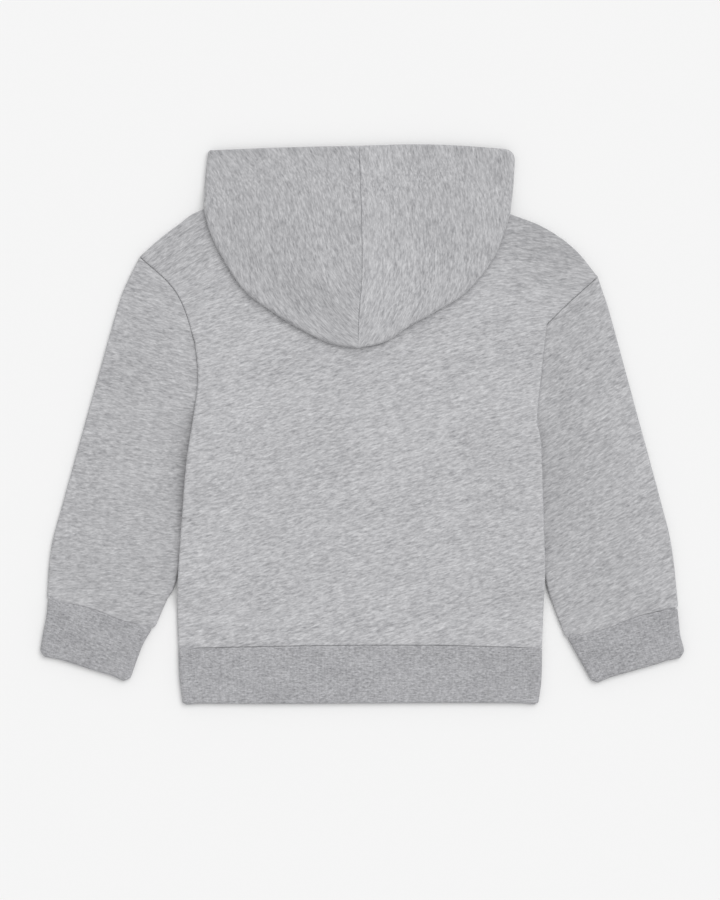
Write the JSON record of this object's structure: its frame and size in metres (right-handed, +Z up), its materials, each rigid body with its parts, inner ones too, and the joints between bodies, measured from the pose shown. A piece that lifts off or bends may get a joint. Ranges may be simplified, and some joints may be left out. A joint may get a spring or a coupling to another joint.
{
  "type": "toddler hoodie",
  "caption": "Plain grey pullover hoodie for a toddler, laid flat on its front with the hood thrown back, and rib cuffs and waistband.",
  "frame": {"origin": "middle of the garment's outline, on the surface that it lies on", "axes": "+X across the shoulders, +Y from the hem to the hood, +Z up from the surface; the garment's back faces +Z"},
  "size_m": [0.515, 0.4477, 0.0133],
  "materials": {
    "fleece": "heather grey brushed loopback fleece, matt, with fine flecks along the courses",
    "rib": "darker heather grey cotton rib knit, folded double, matt"
  },
  "bodies": {
    "root": {"back_panel": "fleece", "front_panel": "fleece", "sleeve_left": "fleece", "sleeve_right": "fleece", "cuff_left": "rib", "cuff_right": "rib", "waistband": "rib", "hood_left": "fleece", "hood_right": "fleece"}
  },
  "joints": []
}
